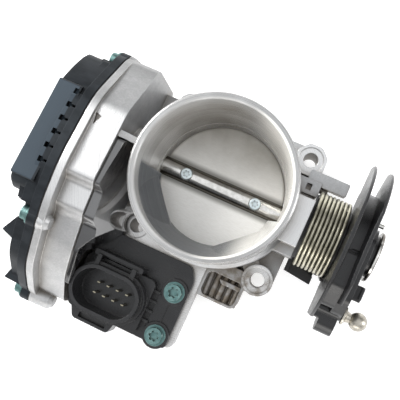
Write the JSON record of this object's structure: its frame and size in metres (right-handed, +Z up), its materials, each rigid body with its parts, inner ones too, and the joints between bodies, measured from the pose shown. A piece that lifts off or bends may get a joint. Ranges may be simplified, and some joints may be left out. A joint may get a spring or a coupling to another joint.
{
  "type": "throttle body",
  "caption": "Cast throttle body with a butterfly plate on a cross shaft, a cable quadrant with return spring, and a geared idle actuator behind a screwed cover.",
  "frame": {"origin": "bore axis at the manifold flange face, which is also the centre of the four bolt holes", "axes": "+Z up the bore to the air inlet, +X along the throttle shaft to the cable quadrant, +Y by the right-hand rule"},
  "size_m": [0.1646, 0.1247, 0.0828],
  "materials": {
    "cast_aluminium": "as cast, machined on the bores and faces",
    "cover_plastic": "fine moulded texture",
    "black_rubber": "matt",
    "zinc_screws": "greenish zinc plate",
    "bright_zinc": "clear zinc plate",
    "connector_plastic": "moulded",
    "tinned_pins": "tinned",
    "gloss_black": "smooth",
    "shaft_steel": "ground",
    "plate_alloy": "turned",
    "brass_bush": "plain",
    "board_green": "lacquered board",
    "natural_nylon": "natural nylon",
    "motor_can": "zinc plate",
    "guide_plastic": "moulded",
    "spring_zinc": "yellow zinc plate",
    "quadrant_plastic": "moulded, lightly worn",
    "nickel_steel": "nickel plate"
  },
  "bodies": {
    "housing": {"throttle_housing": "cast_aluminium", "actuator_cover": "cover_plastic", "cover_gasket": "black_rubber", "cover_screws": "zinc_screws", "connector_module": "connector_plastic", "connector_pins": "tinned_pins", "connector_seal": "black_rubber", "connector_screws": "zinc_screws", "lead_cover": "gloss_black", "shaft_bearings": "brass_bush", "shaft_seals": "black_rubber", "sensor_board": "board_green", "gear_axle": "shaft_steel", "drive_motor": "motor_can", "motor_clamp": "motor_can", "clamp_screws": "bright_zinc", "spring_guide": "guide_plastic", "return_spring": "spring_zinc", "stop_bracket": "guide_plastic"},
    "throttle": {"throttle_shaft": "shaft_steel", "throttle_plate": "plate_alloy", "plate_screws": "bright_zinc", "cable_quadrant": "quadrant_plastic", "quadrant_disc": "shaft_steel", "quadrant_pin": "shaft_steel", "ball_stud": "nickel_steel", "cable_clip": "guide_plastic", "shaft_driver": "shaft_steel", "sensor_wiper": "natural_nylon"},
    "idle_sector": {"sector_gear": "natural_nylon"},
    "reduction_gear": {"double_gear": "natural_nylon"},
    "rotor": {"motor_pinion": "brass_bush"}
  },
  "joints": [
    {"name": "throttle_turn", "type": "hinge", "parent": "housing", "child": "throttle", "pos_m": [0, 0, 0.032], "axis": [-1, 0, 0], "range_deg": [0, 84], "stiffness_Nm_per_rad": 0.2, "springref_deg": -85.94, "deforming": ["return_spring"]},
    {"name": "idle_turn", "type": "hinge", "parent": "housing", "child": "idle_sector", "pos_m": [0, 0, 0.032], "axis": [1, 0, 0], "range_deg": [0, 12]},
    {"name": "double_gear_turn", "type": "hinge", "parent": "housing", "child": "reduction_gear", "pos_m": [0, -0.0325, 0.02627], "axis": [1, 0, 0], "range_deg": [-54, 0]},
    {"name": "pinion_turn", "type": "hinge", "parent": "housing", "child": "rotor", "pos_m": [0, -0.05182, 0.00887], "axis": [1, 0, 0], "range_deg": [0, 226.8]}
  ],
  "couplings": [
    {"joint": "double_gear_turn", "follows": "idle_turn", "ratio": -4.5},
    {"joint": "pinion_turn", "follows": "idle_turn", "ratio": 18.9}
  ]
}
